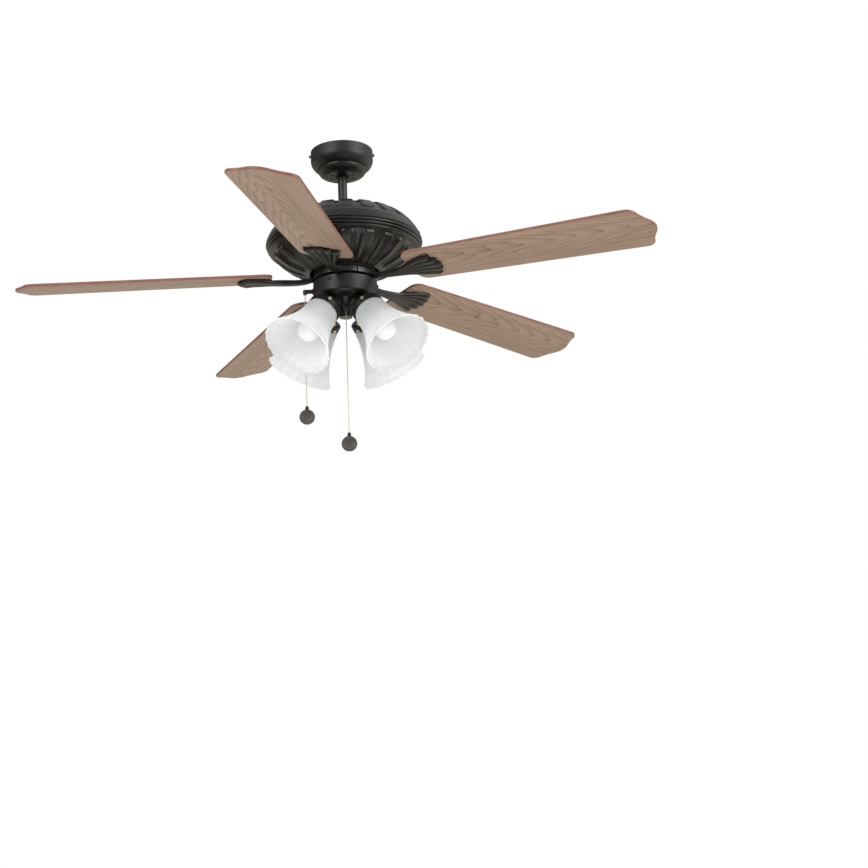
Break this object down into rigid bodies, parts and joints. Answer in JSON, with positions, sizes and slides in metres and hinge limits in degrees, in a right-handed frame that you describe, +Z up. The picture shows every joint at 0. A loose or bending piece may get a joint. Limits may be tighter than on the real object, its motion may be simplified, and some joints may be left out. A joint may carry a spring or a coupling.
{
  "type": "ceiling fan with light kit",
  "caption": "Ceiling fan on a short downrod: fluted motor housing, flat blades on scallop-shell irons, and a light kit of frosted glass bells with pull chains.",
  "frame": {"origin": "centre of the hanger bracket's top face, in the ceiling plane", "axes": "+Z up along the downrod, +X to the viewer's right, +Y away from the viewer"},
  "size_m": [1.2353, 1.2572, 0.6445],
  "materials": {
    "dark_bronze": "satin dark bronze paint",
    "bronze_cast": "die cast, painted satin dark bronze",
    "zinc_steel": "zinc plated",
    "rotor_alloy": "as cast",
    "lamination": "stacked laminations",
    "copper_wire": "varnished copper wire",
    "black_plastic": "moulded",
    "brass_parts": "pale brass",
    "switch_body": "dark moulding with a bronze nipple",
    "dark_wood": "stained and sealed",
    "oak_blade": "oak foil below, mahogany foil above",
    "frosted_glass": "frosted white",
    "bulb_glass": "opal",
    "socket_plastic": "white moulding"
  },
  "bodies": {
    "ceiling_mount": {"hanger_bracket": "zinc_steel", "canopy": "dark_bronze", "canopy_screws": "dark_bronze"},
    "hanging_motor": {"bulb_1": "bulb_glass", "bulb_2": "bulb_glass", "bulb_3": "bulb_glass", "bulb_4": "bulb_glass", "capacitor": "black_plastic", "clevis_pin": "zinc_steel", "downrod": "dark_bronze", "fan_pull_switch": "switch_body", "fitter_cup_1": "dark_bronze", "fitter_cup_2": "dark_bronze", "fitter_cup_3": "dark_bronze", "fitter_cup_4": "dark_bronze", "glass_shade_1": "frosted_glass", "glass_shade_2": "frosted_glass", "glass_shade_3": "frosted_glass", "glass_shade_4": "frosted_glass", "hanger_ball": "black_plastic", "hanger_pin": "zinc_steel", "housing_bowl": "bronze_cast", "housing_dome": "bronze_cast", "housing_screws": "dark_bronze", "lamp_socket_1": "socket_plastic", "lamp_socket_2": "socket_plastic", "lamp_socket_3": "socket_plastic", "lamp_socket_4": "socket_plastic", "light_kit_body": "bronze_cast", "light_pull_switch": "switch_body", "motor_shaft": "zinc_steel", "motor_yoke": "dark_bronze", "reverse_switch": "black_plastic", "stator_core": "lamination", "stator_windings": "copper_wire", "switch_housing": "dark_bronze", "switch_housing_screws": "dark_bronze", "switch_plate": "dark_bronze", "thumb_screws": "brass_parts"},
    "rotor": {"upper_bearing": "zinc_steel", "lower_bearing": "zinc_steel", "rotor_upper_cover": "rotor_alloy", "rotor_lower_cover": "rotor_alloy", "blade_screws": "dark_bronze", "iron_screws": "dark_bronze", "blade_iron_1": "bronze_cast", "blade_iron_2": "bronze_cast", "blade_iron_3": "bronze_cast", "blade_iron_4": "bronze_cast", "blade_iron_5": "bronze_cast", "blade_1": "oak_blade", "blade_2": "oak_blade", "blade_3": "oak_blade", "blade_4": "oak_blade", "blade_5": "oak_blade"},
    "fan_pull": {"fan_pull_chain": "brass_parts", "fan_pull_pendant": "dark_wood"},
    "light_pull": {"light_pull_chain": "brass_parts", "light_pull_pendant": "dark_wood"},
    "reversing_knob": {"reverse_knob": "black_plastic"}
  },
  "joints": [
    {"name": "hanger_tilt", "type": "hinge", "parent": "ceiling_mount", "child": "hanging_motor", "pos_m": [0, 0, -0.033], "axis": [1, 0, 0], "range_deg": [-5, 5]},
    {"name": "rotor_spin", "type": "hinge", "parent": "hanging_motor", "child": "rotor", "pos_m": [0, 0, -0.2], "axis": [0, 0, 1], "continuous": true},
    {"name": "fan_chain_pull", "type": "slide", "parent": "hanging_motor", "child": "fan_pull", "axis": [0, 0, -1], "range_m": [0, 0.01], "stiffness_N_per_m": 300, "springref_m": -0.004},
    {"name": "light_chain_pull", "type": "slide", "parent": "hanging_motor", "child": "light_pull", "axis": [0, 0, -1], "range_m": [0, 0.01], "stiffness_N_per_m": 300, "springref_m": -0.004},
    {"name": "reverse_knob_slide", "type": "slide", "parent": "hanging_motor", "child": "reversing_knob", "axis": [1, 0, 0], "range_m": [-0.003, 0.003]}
  ]
}
